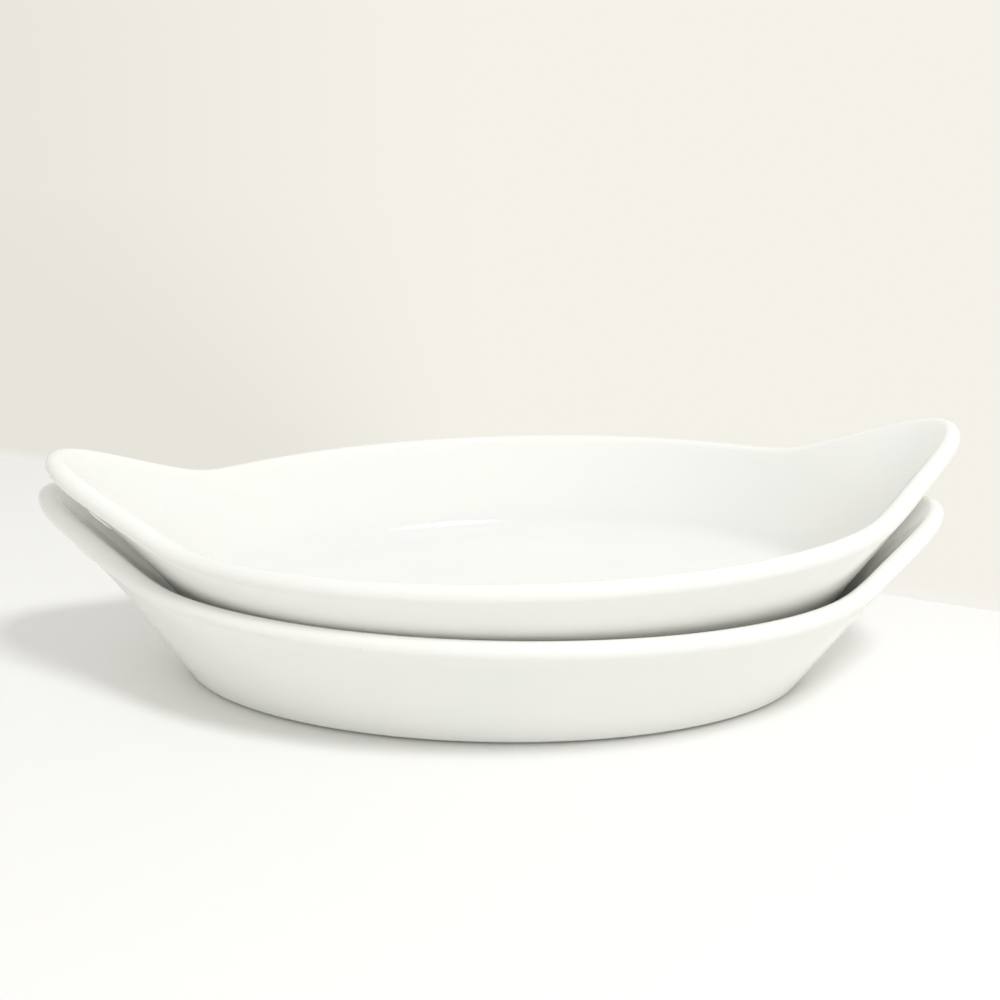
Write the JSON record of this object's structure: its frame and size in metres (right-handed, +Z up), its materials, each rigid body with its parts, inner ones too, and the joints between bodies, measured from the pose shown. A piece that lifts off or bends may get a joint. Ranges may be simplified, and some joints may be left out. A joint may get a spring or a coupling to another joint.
{
  "type": "gratin dish",
  "caption": "Oval white porcelain gratin dishes with flared ears at both ends, nested one in the other; the upper dish lifts off",
  "frame": {"origin": "on the table, at the middle of the stack's outline seen from above", "axes": "+X along the dishes from ear to ear, towards the side that the upper dish has slipped to; +Y across them, away from the viewer in the picture; +Z up, out of the open tops"},
  "size_m": [0.2906, 0.1605, 0.0815],
  "materials": {
    "glazed_porcelain": "clear gloss glaze over white porcelain, bare and matt on the foot ring"
  },
  "bodies": {
    "lower": {"lower_dish": "glazed_porcelain"},
    "upper": {"upper_dish": "glazed_porcelain"}
  },
  "joints": [
    {"name": "upper_dish_lift", "type": "slide", "parent": "lower", "child": "upper", "axis": [0, 0, 1], "range_m": [0, 0.06]}
  ]
}
